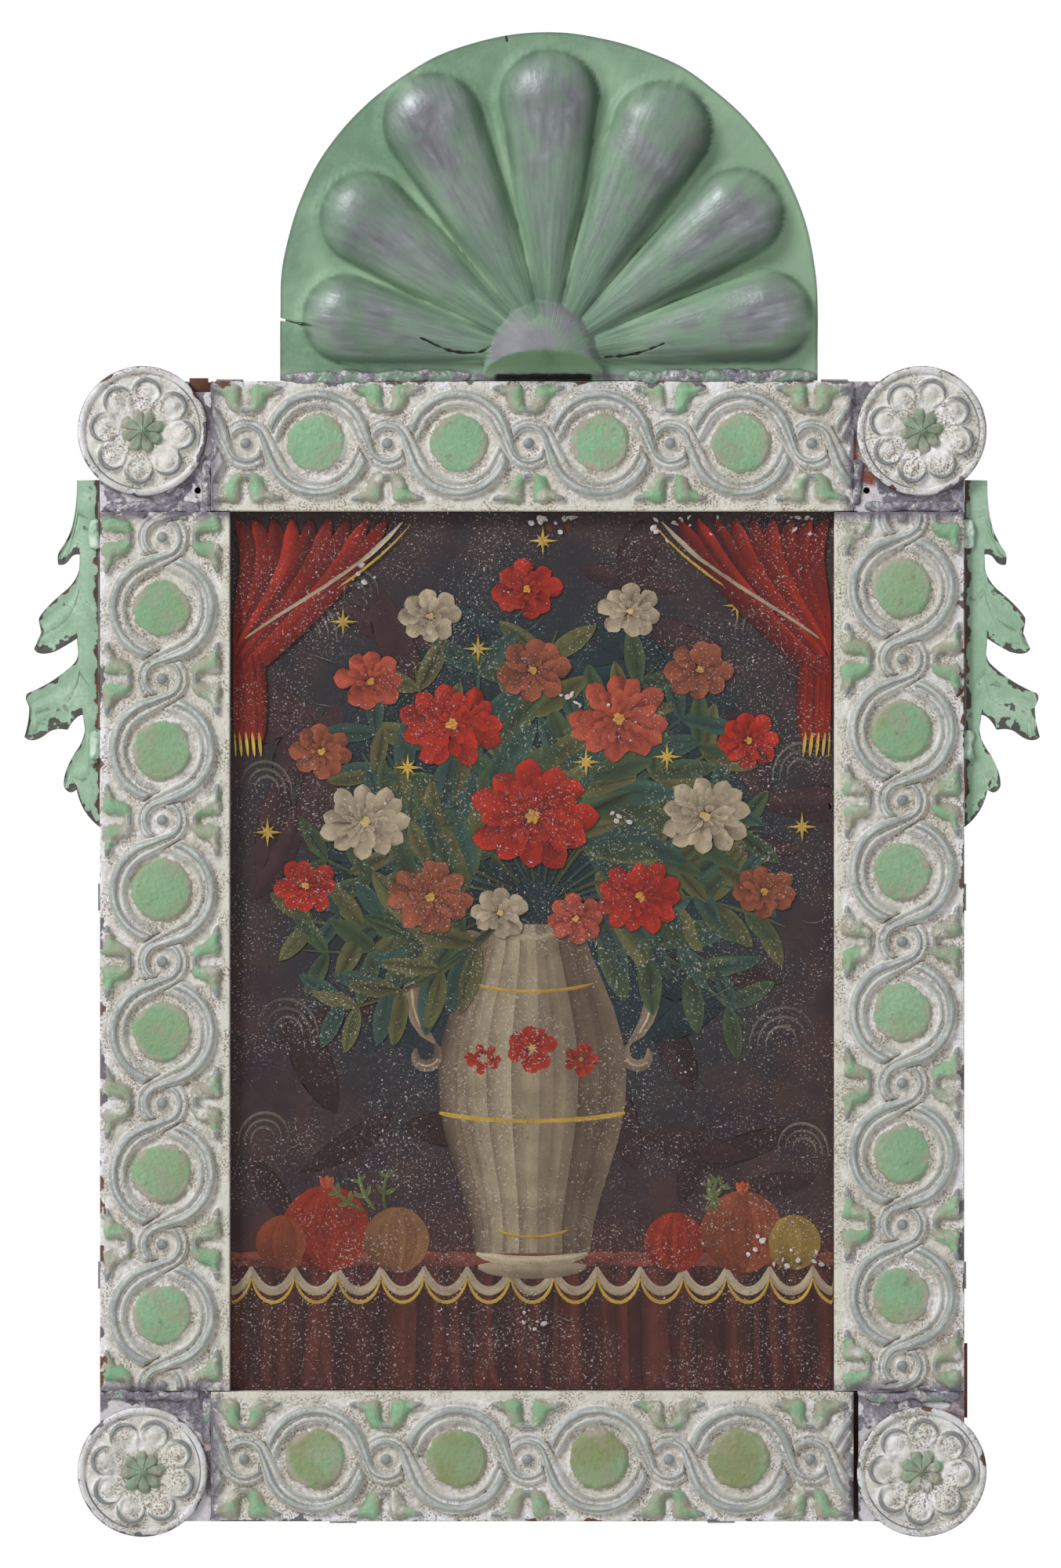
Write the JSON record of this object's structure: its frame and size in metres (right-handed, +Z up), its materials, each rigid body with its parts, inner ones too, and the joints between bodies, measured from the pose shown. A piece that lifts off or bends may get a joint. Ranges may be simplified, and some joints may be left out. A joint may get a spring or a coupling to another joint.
{
  "type": "framed retablo painting",
  "caption": "Painting on tinplate in a soldered frame of pressed tin with corner rosettes, a scallop-shell crest, cut leaves at the sides and a hanging ring behind.",
  "frame": {"origin": "middle of the hanging ring's bar, in its strap on the back of the frame", "axes": "+X to the right seen from the front, +Z up, +Y towards the wall, so the picture faces -Y"},
  "size_m": [0.376, 0.0238, 0.5563],
  "materials": {
    "whitewashed_tin": "matt white oil paint over pressed tinplate, green in places, worn",
    "soldered_tin": "solder-stained tinplate with paint remains",
    "solder": "dull lead-tin solder",
    "green_crest_paint": "mint-green oil paint rubbed to grey on the high places",
    "green_leaf_paint": "mint-green oil paint, chipped at the edges",
    "painted_picture": "dark oil painting on tinplate, flaking",
    "rusted_tin": "rust-brown tinplate",
    "bare_tin": "dulled tinplate",
    "iron_wire": "drawn iron wire"
  },
  "bodies": {
    "frame": {"back_plate": "rusted_tin", "painted_panel": "painted_picture", "border_top": "whitewashed_tin", "border_bottom": "whitewashed_tin", "border_left": "whitewashed_tin", "border_right": "whitewashed_tin", "corner_plate_top_left": "soldered_tin", "corner_plate_top_right": "soldered_tin", "corner_plate_bottom_left": "soldered_tin", "corner_plate_bottom_right": "soldered_tin", "rosette_top_left": "whitewashed_tin", "rosette_top_right": "whitewashed_tin", "rosette_bottom_left": "whitewashed_tin", "rosette_bottom_right": "whitewashed_tin", "solder_stile_top_left": "solder", "solder_stile_top_right": "solder", "solder_stile_bottom_left": "solder", "solder_stile_bottom_right": "solder", "solder_rail_top_left": "solder", "solder_rail_top_right": "solder", "solder_rail_bottom_left": "solder", "crest_shell": "green_crest_paint", "solder_crest_left": "solder", "solder_crest_right": "solder", "crest_brace_left": "bare_tin", "crest_brace_right": "bare_tin", "leaf_left": "green_leaf_paint", "leaf_right": "green_leaf_paint", "solder_leaf_left_upper": "solder", "solder_leaf_left_lower": "solder", "solder_leaf_right_upper": "solder", "solder_leaf_right_lower": "solder", "clip_left_upper": "bare_tin", "clip_left_lower": "bare_tin", "clip_right_upper": "bare_tin", "clip_right_lower": "bare_tin", "clip_top_left": "bare_tin", "clip_top_right": "bare_tin", "clip_bottom_left": "bare_tin", "clip_bottom_right": "bare_tin", "hanger_strap": "bare_tin"},
    "ring": {"hanging_ring": "iron_wire"}
  },
  "joints": [
    {"name": "ring_swing", "type": "hinge", "parent": "frame", "child": "ring", "pos_m": [0, 0, 0], "axis": [1, 0, 0], "range_deg": [0, 180]}
  ]
}
